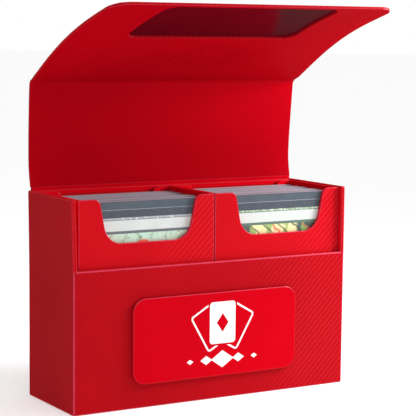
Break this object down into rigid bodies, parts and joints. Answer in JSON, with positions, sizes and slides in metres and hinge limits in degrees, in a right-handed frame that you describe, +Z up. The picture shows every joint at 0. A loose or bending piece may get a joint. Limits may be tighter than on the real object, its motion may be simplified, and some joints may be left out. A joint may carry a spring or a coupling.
{
  "type": "card deck box",
  "caption": "Folding-lid storage box for sleeved playing cards, with lift-out trays, a raised magnetic plaque and a lid whose front panel folds down over it.",
  "frame": {"origin": "centre of the box's underside, on the surface it stands on (the lid is not counted)", "axes": "+Z up, -Y out of the front wall with the plaque, +X to the right seen from the front"},
  "size_m": [0.151, 0.089, 0.1899],
  "materials": {
    "box_wrap": "bright red leatherette with fine diagonal ribs, glossy",
    "lid_wrap": "bright red ribbed leatherette, glossy",
    "lid_inner": "smooth glossy red",
    "tray_wrap": "bright red ribbed leatherette, glossy",
    "plaque": "smooth satin red with a white printed emblem",
    "lining": "dull red lining",
    "steel_plate": "dark red gloss paint",
    "magnet": "nickel plated",
    "card_face": "clear glossy sleeve over a printed card",
    "card_edges": "edges of sleeved cards"
  },
  "bodies": {
    "box": {"shell_left_board": "box_wrap", "shell_right_board": "box_wrap", "shell_back_board": "box_wrap", "shell_front_board": "box_wrap", "shell_floor_board": "box_wrap", "floor_lining": "lining", "back_lining": "lining", "hinge_strip": "lid_wrap", "front_plaque": "plaque", "left_magnet": "magnet", "right_magnet": "magnet"},
    "lid_top": {"lid_top_board": "lid_wrap", "lid_top_lining": "lining", "crease_strip": "lid_wrap"},
    "lid_front": {"lid_front_board": "lid_wrap", "lid_front_frame_board": "lid_inner", "lid_steel_plate": "steel_plate"},
    "left_tray": {"left_tray_front": "tray_wrap", "left_tray_back": "tray_wrap", "left_tray_left": "tray_wrap", "left_tray_right": "tray_wrap", "left_tray_floor": "tray_wrap"},
    "right_tray": {"right_tray_front": "tray_wrap", "right_tray_back": "tray_wrap", "right_tray_left": "tray_wrap", "right_tray_right": "tray_wrap", "right_tray_floor": "tray_wrap"},
    "left_deck": {"left_deck_front_card": "card_face", "left_deck_cards": "card_edges"},
    "right_deck": {"right_deck_front_card": "card_face", "right_deck_cards": "card_edges"}
  },
  "joints": [
    {"name": "lid_hinge", "type": "hinge", "parent": "box", "child": "lid_top", "pos_m": [0, 0.0246, 0.1022], "axis": [-1, 0, 0], "range_deg": [-90, 90]},
    {"name": "lid_crease", "type": "hinge", "parent": "lid_top", "child": "lid_front", "pos_m": [0, 0.0246, 0.155], "axis": [-1, 0, 0], "range_deg": [-21.8, 68.2]},
    {"name": "left_tray_lift", "type": "slide", "parent": "box", "child": "left_tray", "axis": [0, 0, 1], "range_m": [0, 0.045]},
    {"name": "right_tray_lift", "type": "slide", "parent": "box", "child": "right_tray", "axis": [0, 0, 1], "range_m": [0, 0.045]},
    {"name": "left_deck_lift", "type": "slide", "parent": "left_tray", "child": "left_deck", "axis": [0, 0, 1], "range_m": [0, 0.045]},
    {"name": "right_deck_lift", "type": "slide", "parent": "right_tray", "child": "right_deck", "axis": [0, 0, 1], "range_m": [0, 0.045]}
  ]
}
